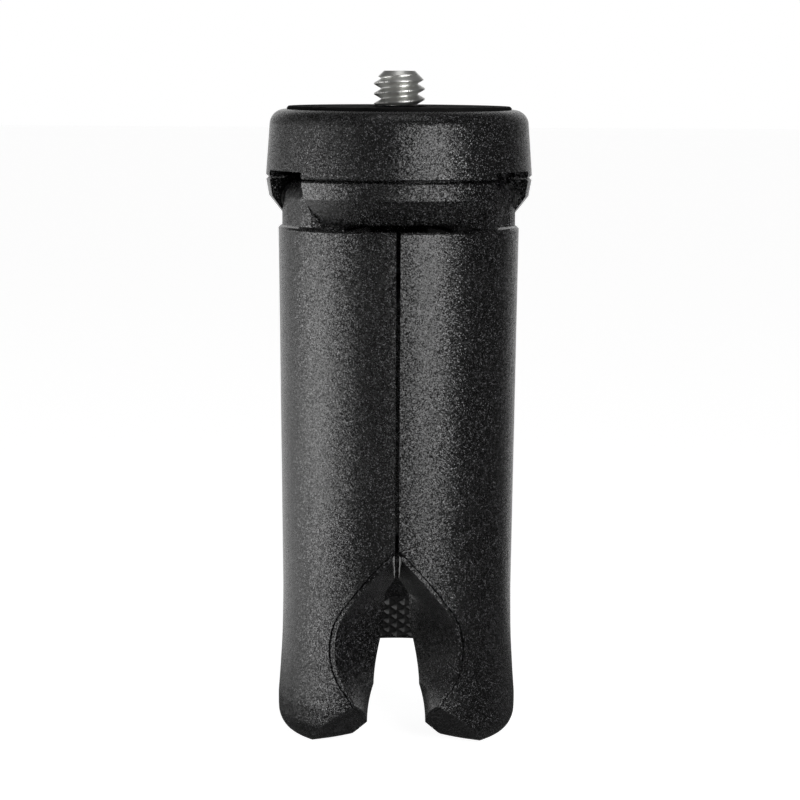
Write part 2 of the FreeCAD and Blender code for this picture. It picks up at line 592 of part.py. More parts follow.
def round_foot(body):
    """Round the outer edge of a leg's foot, and slope its underside."""
    lowest = f"({TOE_RADIUS}-{{foot_round}})"
    below = f"({PAST_FOOT}-{{overcut}})"
    drawing = Drawing(body, "foot_edge", "XZ_Plane").loop([
        (TOE_RADIUS, ROUND_LEVEL, "{foot_round}", "right"), (lowest, LEG_FOOT),
        ("{spine_inner}", f"{LEG_FOOT}+({lowest}-{{spine_inner}})*tan({{foot_rise}})"), ("{spine_inner}", below),
        (f"{TOE_RADIUS}+{{overcut}}", below), (f"{TOE_RADIUS}+{{overcut}}", ROUND_LEVEL)])
    groove = body.newObject("PartDesign::Groove", f"{body.Name}_foot_edge")
    groove.Profile = drawing.sketch
    groove.ReferenceAxis = (origin_part(body, "Z_Axis"), [""])
    groove.Midplane = True
    groove.Angle = 360


def cut_end(body):
    """Shape the lower end of a leg, seen from outside, as a round tip with straight slopes beside it."""
    half_tip = "({end_round}*sin({end_slope}))"
    tip_rise = f"({LEG_FOOT}+{{end_round}}*(1-cos({{end_slope}})))"
    side_rise = f"{tip_rise}+({TOE_RADIUS}-{half_tip})*tan({{end_slope}})"
    below = f"({PAST_FOOT}-{{overcut}})"
    drawing = Drawing(body, "end", "YZ_Plane").loop([
        (f"-{TOE_RADIUS}", side_rise), (f"-{half_tip}", tip_rise, "{end_round}", "left"), (half_tip, tip_rise),
        (TOE_RADIUS, side_rise), (TOE_RADIUS, below), (f"-{TOE_RADIUS}", below)])
    extrude(drawing, "Pocket", "end", f"3*{TOE_RADIUS}", "Symmetric")


def leg_cover(side, angle, swing):
    body = new_body(f"{side}_cover")
    profile = Drawing(body, "shell", "XZ_Plane").loop([
        (COVER_INNER, f"{LEG_TOP}-{{cover_lip}}"), (f"{TOP_RADIUS}-{{cover_edge}}", LEG_TOP),
        (TOP_RADIUS, f"{LEG_TOP}-{{cover_edge}}"), (ANKLE_RADIUS, ANKLE_LEVEL, "{leg_flare}", "left"),
        (TOE_RADIUS, FLARE_FOOT), (TOE_RADIUS, PAST_FOOT), (COVER_INNER, PAST_FOOT)])
    revolve(profile, "shell", f"2*{HALF_COVER}")
    cover_holes(body, "Pad", "boss", "{boss_radius}", BOSS_START, f"({COVER_INNER}+{{cover_wall}}/4)")
    cover_holes(body, "Pocket", "bite", "{cover_screw_radius}", BOSS_START, f"({SCREW_END}+{{screw_play}})")
    round_foot(body)
    cut_end(body)
    arch = loft(body, "SubtractiveLoft", arch_sections(body, "({rim_width}+{rim_gap})", OUTSIDE))
    mirror(body, arch, "arches")
    node(body, f"{side}_leg_cover", leg_place(angle, swing))


def cover_holes(body, kind, name, radius, start, stop):
    """The two round features on the leg's middle line that the cover screws run through."""
    drawing = Drawing(body, name, "YZ_Plane", start)
    drawing.circle("0", UPPER_SCREW, radius).circle("0", LOWER_SCREW, radius)
    extrude(drawing, kind, name, f"{stop}-{start}", reverse=(kind == "Pocket"))


def arch_rim(side):
    """The wall on the core that lines one side of the arch, out to just behind the cover's outer face."""
    body = new_body(f"{side}_rim")
    ankle, toe = f"({ANKLE_RADIUS}-{{rim_sink}})", f"({TOE_RADIUS}-{{rim_sink}})"
    inner = f"({CORE_OUTER}-{{rim_width}})"
    above = f"({ARCH_APEX}+{{rim_width}}*2)"
    profile = Drawing(body, "ring", "XZ_Plane").loop([
        (inner, above), (ankle, above), (ankle, ANKLE_LEVEL, "{leg_flare}", "left"), (toe, FLARE_FOOT),
        (toe, PAST_FOOT), (inner, PAST_FOOT)])
    revolve(profile, "ring", f"2*{HALF_CORE}")
    round_foot(body)
    cut_end(body)
    loft(body, "SubtractiveLoft", arch_sections(body, "{rim_width}", f"-{OUTSIDE}"))
    return body


def mirror_image(thing, name):
    """Another object on the other side of the leg's middle."""
    image = doc.addObject("Part::Mirroring", name)
    image.Source = thing
    image.Normal = Vector(0, 1, 0)
    return image


def leg_core(side, angle, swing):
    body = new_body(f"{side}_core")
    corner = (f"{CORE_OUTER}*cos({HALF_CORE})", f"{CORE_OUTER}*sin({HALF_CORE})")
    inner_half = f"{{spine_inner}}*tan({HALF_CORE})"
    sector = Drawing(body, "sector", "XY_Plane", CORE_TOP).loop([
        ("{spine_inner}", f"-{inner_half}"), (corner[0], f"-{corner[1]}", CORE_OUTER, "left"),
        corner, ("{spine_inner}", inner_half)])
    extrude(sector, "Pad", "sector", f"{CORE_TOP}-{PAST_FOOT}", reverse=True)
    knuckle_back, knuckle_front = f"({HINGE_RADIUS}-{{knuckle_radius}})", f"({HINGE_RADIUS}+{{knuckle_radius}})"
    neck = Drawing(body, "neck", "XZ_Plane").loop([
        (knuckle_back, f"{CORE_TOP}-{{core_drop}}"), (knuckle_front, f"{CORE_TOP}-{{core_drop}}"),
        (knuckle_front, HINGE_LEVEL, "{knuckle_radius}", "left"),
        (HINGE_RADIUS, f"{HINGE_LEVEL}+{{knuckle_radius}}", "{knuckle_radius}", "left"),
        (knuckle_back, HINGE_LEVEL)])
    extrude(neck, "Pad", "neck", f"2*{HALF_NECK}", "Symmetric")
    taper_neck(body)
    face = Drawing(body, "neck_face", "XY_Plane", LEG_TOP)
    face.circle("0", "0", NECK_RADIUS).circle("0", "0", f"{NECK_RADIUS}+{{overcut}}*2")
    extrude(face, "Pocket", "neck_face", "{leg_length}/2", reverse=True)
    under = Drawing(body, "neck_under", "XY_Plane", f"{LEG_TOP}+{{neck_gap}}")
    under.circle("0", "0", CORE_OUTER).circle("0", "0", f"{NECK_RADIUS}+{{overcut}}*2")
    extrude(under, "Pocket", "neck_under", "3*{core_drop}")
    bore = Drawing(body, "bore", "XZ_Plane").circle(HINGE_RADIUS, HINGE_LEVEL, "{pin_radius}+{pin_play}")
    extrude(bore, "Pocket", "bore", "2*{slot_width}", "Symmetric")
    cells = Drawing(body, "cells", "YZ_Plane")
    cell_top = f"({LEG_TOP}-{{cell_margin}})"
    for low, high in (("{cell_inner}", "{cell_outer}"), ("-{cell_outer}", "-{cell_inner}")):
        cells.loop([(low, cell_top), (low, f"{cell_top}-{{cell_height}}"),
                    (high, f"{cell_top}-{{cell_height}}"), (high, cell_top)])
    hollow = extrude(cells, "Pocket", "cells", f"{COVER_INNER}-{{cell_floor}}", reverse=True)
    along(body, hollow, "cell_rows", "Z_Axis", "({cell_rows}-1)*{cell_pitch}", "{cell_rows}", reverse=True)
    cover_holes(body, "Pocket", "head_room", "{cover_screw_head}+{screw_play}", "0", SCREW_SEAT)
    cover_holes(body, "Pocket", "clearance", "{cover_screw_radius}+{screw_play}", "0", COVER_INNER)
    cover_holes(body, "Pocket", "socket", "{boss_radius}+{screw_play}", f"({BOSS_START}-{{cover_play}})",
                f"({COVER_INNER}+{{cover_wall}})")
    slope = "tan({foot_tilt})"
    foot = Drawing(body, "foot", "XZ_Plane").loop([
        ("0", f"{LEG_FOOT}+{{foot_plane_radius}}/{slope}"), ("0", PAST_FOOT),
        (f"{{foot_plane_radius}}+{{overcut}}*{slope}", PAST_FOOT)])
    extrude(foot, "Pocket", "foot", f"3*{TOP_RADIUS}", "Symmetric")
    round_foot(body)
    cut_end(body)
    pad_recess(body)
    rim = arch_rim(side)
    solid = fuse(f"{side}_core_solid", [body, rim, mirror_image(rim, f"{side}_rim_image")])
    arch = new_body(f"{side}_arch")
    loft(arch, "AdditiveLoft", arch_sections(arch, "0", OUTSIDE))
    core = doc.addObject("Part::Cut", f"{side}_core_cut")
    core.Base = solid
    core.Tool = group(f"{side}_arches", [arch, mirror_image(arch, f"{side}_arch_image")])
    node(core, f"{side}_leg_core", leg_place(angle, swing))


def taper_neck(body):
    """Cut the neck's outer corners so that its outer face narrows towards the pin."""
    start = f"({HINGE_LEVEL}-{{neck_taper_drop}})"
    rate = f"(({HALF_NECK}-{{neck_taper_width}})/({{neck_taper_drop}}+{{pin_radius}}))"
    outer = f"({NECK_RADIUS}+{{overcut}}/2)"
    side = f"({HALF_SLOT}+{{overcut}})"
    sections = []
    for name, level in (("taper_foot", start), ("taper_head", f"({HINGE_LEVEL}+{{knuckle_radius}}*1.2)")):
        half = f"({HALF_NECK}-({level}-{start})*{rate})"
        drawing = Drawing(body, name, "XY_Plane", level).loop([
            (outer, f"{half}-{{overcut}}/2/{{neck_taper_depth}}"), (outer, side),
            (f"{NECK_RADIUS}-({side}-{half})*{{neck_taper_depth}}", side)])
        sections.append(drawing.sketch)
    taper = body.newObject("PartDesign::SubtractiveLoft", f"{body.Name}_taper")
    taper.Profile = sections[0]
    taper.Sections = sections[1:]
    taper.Ruled = True
    mirror(body, taper, "tapers")


def foot_outline(body, name, play, shift="0"):
    """The pad's outline, about its own middle."""
    half_length = f"({{pad_length}}/2+{play})"
    foot_half = f"({{pad_foot_half}}+{play})"
    top_half = f"({{pad_top_half}}+{play})"
    return Drawing(body, name, "YZ_Plane", shift).loop([
        (f"-{foot_half}", f"-{half_length}", "{pad_end_bend}", "left"), (foot_half, f"-{half_length}"),
        (top_half, half_length), (f"-{top_half}", half_length)])


def pad_recess(body):
    """The recess for the pad, in the foot's sloping inner face."""
    recess = foot_outline(body, "recess", "{seat_play}")
    slope = Rotation(Vector(1, 0, 0), -number("{foot_tilt}"))
    recess.sketch.AttachmentOffset = Placement(Vector(0, number(PAD_Z), number(PAD_X)), slope)
    bind(recess.sketch, ".AttachmentOffset.Base.y", PAD_Z)
    bind(recess.sketch, ".AttachmentOffset.Base.z", PAD_X)
    extrude(recess, "Pocket", "recess", "{pad_base}", reverse=True)


def foot_pad(side, angle, swing):
    """A rubber pad whose raised field is cut by two rows of grooves, which leave diamonds. It is drawn with
    its grooves along Y and Z, and is then turned by 45 degrees."""
    body = new_body(f"{side}_pad")
    turned = Rotation(Vector(0, 0, 1), 45)
    for name, play, start, height in (("base", "0", "0", "{pad_base}"),
                                      ("field", "(-{pad_border})", "-{diamond_height}", "{diamond_height}")):
        outline = foot_outline(body, name, play, start)
        outline.sketch.AttachmentOffset = Placement(Vector(0, 0, number(start)), turned)
        extrude(outline, "Pad", name, height)
    half_foot = "{diamond_gap}/2"
    half_mouth = "(({diamond_pitch}-{diamond_flat})/2)"
    rise = f"({half_mouth}-{half_foot})/{{diamond_height}}"
    run = "({diamond_rows}-1)*{diamond_pitch}"
    start = f"-({run})/2"
    beyond = "-2*{diamond_height}"
    for name, plane, axis in (("first", "XY_Plane", "Y_Axis"), ("second", "XZ_Plane", "Z_Axis")):
        groove = Drawing(body, name, plane).loop([
            ("0", f"{start}-{half_foot}"), ("0", f"{start}+{half_foot}"),
            (beyond, f"{start}+{half_foot}+2*{{diamond_height}}*{rise}"),
            (beyond, f"{start}-{half_foot}-2*{{diamond_height}}*{rise}")])
        cut = extrude(groove, "Pocket", name, "4*{pad_length}", "Symmetric")
        along(body, cut, f"{name}_rows", axis, run, "{diamond_rows}")
    on_foot = Placement(Vector(number(PAD_X), 0, number(PAD_Z)), Rotation(Vector(0, 1, 0), -number("{foot_tilt}")))
    untwist = Placement(Vector(0, 0, 0), Rotation(Vector(1, 0, 0), -45))
    node(body, f"{side}_foot_pad", leg_place(angle, swing).multiply(on_foot).multiply(untwist))


def cover_screws(side, angle, swing):
    screws = []
    for name, level in (("upper", UPPER_SCREW), ("lower", LOWER_SCREW)):
        shank = rod(f"{side}_{name}_shank", "{cover_screw_radius}", f"{SCREW_END}-{SCREW_SEAT}",
                    SCREW_SEAT, "0", level, Vector(1, 0, 0))
        head = rod(f"{side}_{name}_head", "{cover_screw_head}", "{cover_screw_head_height}",
                   f"{SCREW_SEAT}-{{cover_screw_head_height}}", "0", level, Vector(1, 0, 0))
        screws.append(fuse(f"{side}_{name}_screw", [shank, head]))
    node(group(f"{side}_screw_set", screws), f"{side}_cover_screws", leg_place(angle, swing))


def check_and_export():
    """Refuse a failed object or shape, then write one file for each sub-part."""
    doc.recompute()
    failed = [thing.Name for thing in doc.Objects if "Invalid" in thing.State or "Error" in thing.State]
    if failed:
        raise RuntimeError(f"These failed: {failed}")
    for thing in node_objects:
        if thing.Shape.isNull() or not thing.Shape.isValid() or not thing.Shape.Solids:
            raise RuntimeError(f"{thing.Label} has no valid solid")
    os.makedirs("parts", exist_ok=True)
    for thing in node_objects:
        thing.Shape.exportStep(f"parts/{thing.Label}.step")
        print(f"{thing.Label}: {len(thing.Shape.Solids)} solids, {thing.Shape.Volume:.1f} mm3")


rubber_seat()
head_cap()
camera_screw()
screw_plug()
hub_body()
hub_screws()
for side, angle in LEGS:
    swing = number("{rear_swing}") if side == "rear" else 0.0
    hinge_pin(side, angle)
    hinge_washers(side, angle)
    leaf_spring(side, angle)
    leg_core(side, angle, swing)
    leg_cover(side, angle, swing)
    foot_pad(side, angle, swing)
    cover_screws(side, angle, swing)
check_and_export()
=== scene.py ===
import math
from collections import namedtuple

import bpy
from mathutils import Matrix, Vector


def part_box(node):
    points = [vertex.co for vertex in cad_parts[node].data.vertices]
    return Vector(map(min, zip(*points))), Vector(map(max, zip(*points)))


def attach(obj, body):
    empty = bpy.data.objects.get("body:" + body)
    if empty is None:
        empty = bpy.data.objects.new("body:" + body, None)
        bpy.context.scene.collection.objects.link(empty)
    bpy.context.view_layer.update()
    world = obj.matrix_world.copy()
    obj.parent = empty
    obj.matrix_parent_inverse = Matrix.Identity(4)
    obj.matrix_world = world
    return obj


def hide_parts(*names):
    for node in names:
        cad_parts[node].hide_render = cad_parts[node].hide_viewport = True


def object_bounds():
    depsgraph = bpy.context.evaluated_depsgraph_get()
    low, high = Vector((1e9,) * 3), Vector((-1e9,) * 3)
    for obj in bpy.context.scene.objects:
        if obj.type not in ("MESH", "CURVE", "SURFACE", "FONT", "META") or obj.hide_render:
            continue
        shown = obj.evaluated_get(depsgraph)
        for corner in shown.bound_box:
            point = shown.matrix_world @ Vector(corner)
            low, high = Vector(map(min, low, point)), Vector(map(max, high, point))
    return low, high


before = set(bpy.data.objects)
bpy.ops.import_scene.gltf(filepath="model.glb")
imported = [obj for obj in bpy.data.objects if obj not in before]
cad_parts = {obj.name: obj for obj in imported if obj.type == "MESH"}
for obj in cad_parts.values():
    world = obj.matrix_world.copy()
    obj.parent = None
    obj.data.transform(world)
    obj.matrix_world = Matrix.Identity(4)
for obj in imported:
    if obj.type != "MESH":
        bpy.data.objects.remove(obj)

bl_info = {
    "name": "Pocket Table Tripod",
    "version": (1, 0, 0),
    "blender": (4, 5, 0),
    "location": "View3D > Sidebar > Tripod",
    "description": "Dresses a pocket table tripod and sets it on a pale stage",
    "category": "Object",
}

MM = 0.001
CAD_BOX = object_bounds()

# Where each finish goes, by the end of a node's name.
FINISHES = {
    "head_cap": "grained_nylon",
    "hub_body": "grained_nylon",
    "leg_cover": "grained_nylon",
    "leg_core": "moulded_nylon",
    "rubber_seat": "seat_rubber",
    "foot_pad": "pad_rubber",
    "camera_screw": "plated_steel",
    "hinge_pin": "plain_steel",
    "hub_screws": "plain_steel",
    "cover_screws": "plain_steel",
    "hinge_washers": "plain_steel",
    "leaf_spring": "spring_steel",
    "screw_plug": "natural_acetal",
}

# Gloss of the nylon, size of its facets, and how far a metal's grain moves its roughness up and down.
NYLON_GLOSS = 0.45
NYLON_GRAIN = 0.105 * MM
METAL_SWING = 0.08

# Winding of the screw's thread, how far the screw's parts reach into each other, and margins of its tests.
FLANK_SLOPE = math.radians(30)
TURNS_BELOW_SEAT = 2
STEPS_PER_TURN = 72
RIDGE_OVERLAP = 0.09 * MM
SHANK_OVERLAP = 1.2 * MM
HEAD_BEVEL = 0.25 * MM
MERGE_DISTANCE = 0.0001 * MM
TIP_MARGIN = 0.01 * MM
LOST_THREAD = 0.1 * MM
SMOOTH_ANGLE = math.radians(30)

# Floor and world. The room's share is what is left of their white in reflections on the studio's dark side.
FLOOR_WIDTH = 6.0
FLOOR_GREY = (0.3, 0.3, 0.3)
# The darker grey below is painted shade: the floor's colour in reflections round the object and on the
# studio's dark side.
FLOOR_REFLECTED_SHADE = (0.05, 0.05, 0.05)
FLOOR_ROUGHNESS = 0.9
FLOOR_GLOW = 0.94
WORLD_FILL = 0.05
ROOM_SHARE = 0.04

# White side of the floor and of the world, seen from the object: its middle, and the cosines to it at which
# the white starts and is full.
WhiteSide = namedtuple("WhiteSide", "middle start full")
FLOOR_WHITE = WhiteSide(middle=(-0.68, 0.73, 0), start=0.1, full=0.4)
WORLD_WHITE = WhiteSide(middle=(0, 1, 0), start=0.75, full=0.98)

# The object's painted shadow on the floor, seen only in reflections, which reaches twice as far before and
# behind as beside, and how far from the middle it starts to fade and is gone.
PAINTED_SHADOW_SHAPE = (1, 0.5, 0)
PAINTED_SHADOW_FADE = (0.03, 0.06)

# Lamps: azimuth from the front in degrees; height above the seat, distance from the axis and size in metres;
# power in watts. All face one point on the axis.
Softbox = namedtuple("Softbox", "name azimuth height distance size power")
SOFTBOXES = (
    Softbox("left_softbox", azimuth=-87, height=-0.05, distance=0.45, size=(0.6, 0.6), power=0.5),
    Softbox("left_card", azimuth=-76, height=-0.051, distance=0.15, size=(0.12, 0.045), power=0.125),
    Softbox("right_softbox", azimuth=28, height=-0.022, distance=0.14, size=(0.072, 0.103), power=0.18),
    Softbox("overhead", azimuth=10, height=0.6, distance=0.15, size=(0.3, 0.3), power=0.6),
)
LAMP_AIM = Vector((0, 0, -0.04))

# Width of the camera's sensor in millimetres.
SENSOR_WIDTH = 36


class ScrewSizes(bpy.types.PropertyGroup):
    """Sizes of the camera screw."""

    major_radius: bpy.props.FloatProperty(
        name="Major radius", description="Radius at the thread's crests", default=3.175 * MM,
        unit="LENGTH", precision=6)
    root_radius: bpy.props.FloatProperty(
        name="Root radius", description="Radius at the thread's roots", default=2.33 * MM,
        unit="LENGTH", precision=6)
    pitch: bpy.props.FloatProperty(
        name="Pitch", description="Distance from one crest to the next", default=1.27 * MM,
        unit="LENGTH", precision=6)
    crest: bpy.props.FloatProperty(
        name="Crest", description="Width of the flat on each crest", default=0.17 * MM,
        unit="LENGTH", precision=6)
    start: bpy.props.FloatProperty(
        name="Start", description="Height of a crest on the right side of the screw", default=0.9 * MM,
        unit="LENGTH", precision=6)
    tip_bevel: bpy.props.FloatProperty(
        name="Tip bevel", description="Bevel at the screw's tip", default=1.74 * MM,
        unit="LENGTH", precision=6)
    shank_radius: bpy.props.FloatProperty(
        name="Shank radius", description="Radius of the plain shank below the seat", default=2.9 * MM,
        unit="LENGTH", precision=6)
    head_corner: bpy.props.FloatProperty(
        name="Head corner", description="Corner radius of the hexagon head", default=4.9 * MM,
        unit="LENGTH", precision=6)
    head_height: bpy.props.FloatProperty(
        name="Head height", description="Height of the hexagon head", default=3.0 * MM,
        unit="LENGTH", precision=6)


class FinishColours(bpy.types.PropertyGroup):
    """Colours of the finishes."""

    nylon: bpy.props.FloatVectorProperty(
        name="Nylon", description="Black of the glass filled mouldings", subtype="COLOR", size=3,
        default=(0.008, 0.008, 0.0083), min=0, max=1)
    core_nylon: bpy.props.FloatVectorProperty(
        name="Core nylon", description="Black of the smoother leg cores", subtype="COLOR", size=3,
        default=(0.0105, 0.0105, 0.0109), min=0, max=1)
    seat_rubber: bpy.props.FloatVectorProperty(
        name="Seat rubber", description="Black of the seat", subtype="COLOR", size=3,
        default=(0.008, 0.008, 0.008), min=0, max=1)
    pad_rubber: bpy.props.FloatVectorProperty(
        name="Pad rubber", description="Black of the foot pads", subtype="COLOR", size=3,
        default=(0.02, 0.02, 0.02), min=0, max=1)
    steel: bpy.props.FloatVectorProperty(
        name="Steel", description="Plated steel of the camera screw", subtype="COLOR", size=3,
        default=(0.72, 0.72, 0.71), min=0, max=1)


class StageSettings(bpy.types.PropertyGroup):
    """Place and lens of the camera, which looks at the front, slightly from above."""

    distance: bpy.props.FloatProperty(
        name="Distance", description="Distance of the camera from the head's axis", default=366.4 * MM,
        unit="LENGTH")
    height: bpy.props.FloatProperty(
        name="Height", description="Height of the camera above the seat", default=6.7 * MM, unit="LENGTH")
    aside: bpy.props.FloatProperty(
        name="Aside", description="How far the camera stands to the right", default=0.28 * MM, unit="LENGTH")
    pitch: bpy.props.FloatProperty(
        name="Pitch", description="How far the camera looks down", default=math.radians(6.8),
        subtype="ANGLE")
    roll: bpy.props.FloatProperty(
        name="Roll", description="Turn of the camera about its view", default=math.radians(0.3),
        subtype="ANGLE")
    lens: bpy.props.FloatProperty(
        name="Lens", description="Focal length on a 36 mm sensor, in millimetres", default=131.27)


# Shader nodes


def node_of_type(tree, kind):
    """The node of a type that a new tree comes with."""
    return next(node for node in tree.nodes if node.type == kind)


def operation_node(tree, kind, operation, sources):
    """A new node that does one operation on sockets, numbers or vectors."""
    node = tree.nodes.new(kind)
    node.operation = operation
    for socket, source in zip(node.inputs, sources):
        if isinstance(source, (float, tuple)):
            socket.default_value = source
        else:
            tree.links.new(source, socket)
    return node


def math_node(tree, operation, *sources):
    """The outcome of one operation on sockets or numbers."""
    return operation_node(tree, "ShaderNodeMath", operation, sources).outputs["Value"]


def vector_node(tree, operation, *sources):
    """The outcome of one operation on vectors, which is a number for a dot product and a length."""
    node = operation_node(tree, "ShaderNodeVectorMath", operation, sources)
    return node.outputs["Value" if operation in ("DOT_PRODUCT", "LENGTH") else "Vector"]


# Finishes


class Finish:
    """A material with a Principled shader, built up from patterns in Object coordinates."""

    def __init__(self, name, colour, metallic=0.0, specular=0.5):
        self.material = bpy.data.materials.new(name)
        self.material.use_nodes = True
        self.tree = self.material.node_tree
        self.shader = node_of_type(self.tree, "BSDF_PRINCIPLED")
        self.shader.inputs["Base Color"].default_value = (*colour, 1)
        self.shader.inputs["Metallic"].default_value = metallic
        self.shader.inputs["Specular IOR Level"].default_value = specular
        self.place = self.tree.nodes.new("ShaderNodeTexCoord").outputs["Object"]

    def node(self, kind, **settings):
        """A new node. A setting is an input's name in lower case with _ for a space, and its number."""
        node = self.tree.nodes.new(kind)
        for name, amount in settings.items():
            node.inputs[name.replace("_", " ").title()].default_value = amount
        return node

    def noise(self, grain, detail=2.0, roughness=0.5, squeeze=None):
        """A noise whose grains are about the given size in metres. Squeeze makes them shorter along an axis
        by a factor above 1, and longer by one below 1."""
        noise = self.node("ShaderNodeTexNoise", scale=0.5 / grain, detail=detail, roughness=roughness)
        source = self.place
        if squeeze:
            mapping = self.node("ShaderNodeMapping", scale=squeeze)
            self.tree.links.new(source, mapping.inputs["Vector"])
            source = mapping.outputs["Vector"]
        self.tree.links.new(source, noise.inputs["Vector"])
        return noise.outputs["Fac"]

    def facets(self, size):
        """Loose facets of the given size in metres: each one's chance brightness, and its height in metres
        when it leans a chance way."""
        cells = self.node("ShaderNodeTexVoronoi", scale=1 / size)
        self.tree.links.new(self.place, cells.inputs["Vector"])
        spot = vector_node(self.tree, "SUBTRACT", self.place, cells.outputs["Position"])
        lean = vector_node(self.tree, "SUBTRACT", cells.outputs["Color"], (0.5, 0.5, 0.5))
        return cells.outputs["Color"], vector_node(self.tree, "DOT_PRODUCT", spot, lean)

    def spread(self, source, low, high, at_low=0, at_high=1):
        """Map a pattern's range from low to high to two amounts, which are 0 and 1 if none are given."""
        mapped = self.node("ShaderNodeMapRange", from_min=low, from_max=high, to_min=at_low, to_max=at_high)
        self.tree.links.new(source, mapped.inputs["Value"])
        return mapped.outputs["Result"]

    def multiply(self, first, second):
        """One pattern times another, or times a number."""
        return math_node(self.tree, "MULTIPLY", first, second)

    def tint(self, source, dark, light):
        """Colour the base between two colours by a pattern."""
        mix = self.tree.nodes.new("ShaderNodeMix")
        mix.data_type = "RGBA"
        mix.inputs["A"].default_value = (*dark, 1)
        mix.inputs["B"].default_value = (*light, 1)
        self.tree.links.new(source, mix.inputs["Factor"])
        self.tree.links.new(mix.outputs["Result"], self.shader.inputs["Base Color"])

    def rough(self, source):
        """Roughen the surface by a pattern."""
        self.tree.links.new(source, self.shader.inputs["Roughness"])

    def relief(self, source, depth):
        """Raise the surface by a pattern, times the given depth."""
        bump = self.node("ShaderNodeBump", strength=1.0, distance=depth)
        self.tree.links.new(source, bump.inputs["Height"])
        self.tree.links.new(bump.outputs["Normal"], self.shader.inputs["Normal"])


def shade(colour, share):
    """A colour made darker or lighter."""
    return tuple(min(channel * share, 1.0) for channel in colour)


def chosen_colours():
    """The colours that a user may change."""
    return bpy.context.scene.tripod_colours


def nylon(name, colour, lean, patches):
    """Glass filled nylon from a spark eroded mould: small facets that lean every way, with pale grains among
    them, which are painted glints that stand in for the facets' sparkle, and duller and smoother in patches."""
    finish = Finish(name, colour, specular=NYLON_GLOSS)
    bright, height = finish.facets(NYLON_GRAIN)
    # Painted glints: pale grains in the base colour that stand in for the sparkle of the leaning facets.
    painted_glints = finish.spread(bright, 0.74, 0.94)
    finish.tint(painted_glints, shade(colour, 0.1), shade(colour, 18.0))
    worn = finish.spread(finish.noise(patches, detail=3.0), 0.35, 0.65, at_low=0.9, at_high=1.12)
    facet_roughness = finish.spread(bright, 0.1, 0.9, at_low=0.3, at_high=0.18)
    finish.rough(finish.multiply(facet_roughness, worn))
    finish.relief(height, lean)
    return finish.material


def grained_nylon():
    """The covers', the hub's and the cap's moulding."""
    return nylon("grained_nylon", chosen_colours().nylon, lean=0.4, patches=7 * MM)


def moulded_nylon():
    """The cores' moulding, with a flatter grain than the covers'."""
    return nylon("moulded_nylon", chosen_colours().core_nylon, lean=0.34, patches=5 * MM)


def rubber(name, colour, specular, bloom_size, bloom_shade, grain_size, dull, smooth, depth):
    """Rubber with a faint bloom and a fine grain, which is dull in its hollows and smoother on its tops."""
    finish = Finish(name, colour, specular=specular)
    bloom = finish.noise(bloom_size, detail=5.0, roughness=0.65)
    finish.tint(finish.spread(bloom, 0.35, 0.7), shade(colour, 0.6), shade(colour, bloom_shade))
    grain = finish.noise(grain_size, detail=3.0)
    finish.rough(finish.spread(grain, 0.3, 0.7, at_low=dull, at_high=smooth))
    finish.relief(grain, depth)
    return finish.material


def seat_rubber():
    """The seat's dull rubber, which gives no shine."""
    return rubber("seat_rubber", chosen_colours().seat_rubber, specular=0.03, bloom_size=3 * MM,
                  bloom_shade=1.9, grain_size=0.2 * MM, dull=0.95, smooth=0.7, depth=0.03 * MM)


def pad_rubber():
    """The foot pads' harder rubber, polished by the table."""
    return rubber("pad_rubber", chosen_colours().pad_rubber, specular=0.5, bloom_size=0.8 * MM,
                  bloom_shade=1.6, grain_size=0.12 * MM, dull=0.5, smooth=0.32, depth=0.012 * MM)


def metal(name, colour, roughness, grain_size, squeeze=(1, 1, 1)):
    """Bare or plated metal with a fine drawn grain, darker stains and dulled patches."""
    finish = Finish(name, colour, metallic=1.0)
    grain = finish.noise(grain_size, detail=4.0, squeeze=squeeze)
    stain = finish.noise(0.35 * MM, detail=4.0, roughness=0.7)
    finish.tint(finish.spread(stain, 0.42, 0.58), shade(colour, 0.3), colour)
    dulled = finish.spread(finish.noise(1.5 * MM, detail=4.0), 0.4, 0.7, at_low=1.0, at_high=1.35)
    drawn = finish.spread(grain, 0.3, 0.7, at_low=roughness + METAL_SWING, at_high=roughness - METAL_SWING)
    finish.rough(finish.multiply(drawn, dulled))
    finish.relief(grain, 0.004 * MM)
    return finish.material


def plated_steel():
    """The camera screw's bright plating, with a grain that runs round it."""
    return metal("plated_steel", chosen_colours().steel, roughness=0.13, grain_size=0.1 * MM,
                 squeeze=(1, 1, 4))


def plain_steel():
    """The pins', washers' and small screws' steel."""
    return metal("plain_steel", (0.5, 0.5, 0.5), roughness=0.32, grain_size=0.12 * MM)


def spring_steel():
    """The leaf springs' strip, rolled lengthways."""
    return metal("spring_steel", (0.42, 0.43, 0.45), roughness=0.3, grain_size=0.1 * MM, squeeze=(1, 1, 0.1))


def natural_acetal():
    """The plug's uncoloured plastic."""
    finish = Finish("natural_acetal", (0.72, 0.71, 0.66))
    cloud = finish.noise(2 * MM, detail=3.0)
    finish.tint(finish.spread(cloud, 0.35, 0.65), (0.7, 0.69, 0.63), (0.75, 0.74, 0.69))
    finish.rough(finish.spread(finish.noise(0.4 * MM), 0.3, 0.7, at_low=0.5, at_high=0.36))
    return finish.material


MAKERS = {maker.__name__: maker for maker in (
    grained_nylon, moulded_nylon, seat_rubber, pad_rubber,
    plated_steel, plain_steel, spring_steel, natural_acetal)}


def finish_named(name):
    """The named finish, made the first time that it is asked for."""
    return bpy.data.materials.get(name) or MAKERS[name]()


class TRIPOD_OT_dress_frame(bpy.types.Operator):
    """Give every carried node its finish"""
    bl_idname = "tripod.dress_frame"
    bl_label = "Dress the mouldings and metal parts"

    def execute(self, context):
        for name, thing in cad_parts.items():
            ending = next(ending for ending in FINISHES if name.endswith(ending))
            material = finish_named(FINISHES[ending])
            thing.data.materials.clear()
            thing.data.materials.append(material)
        return {"FINISHED"}


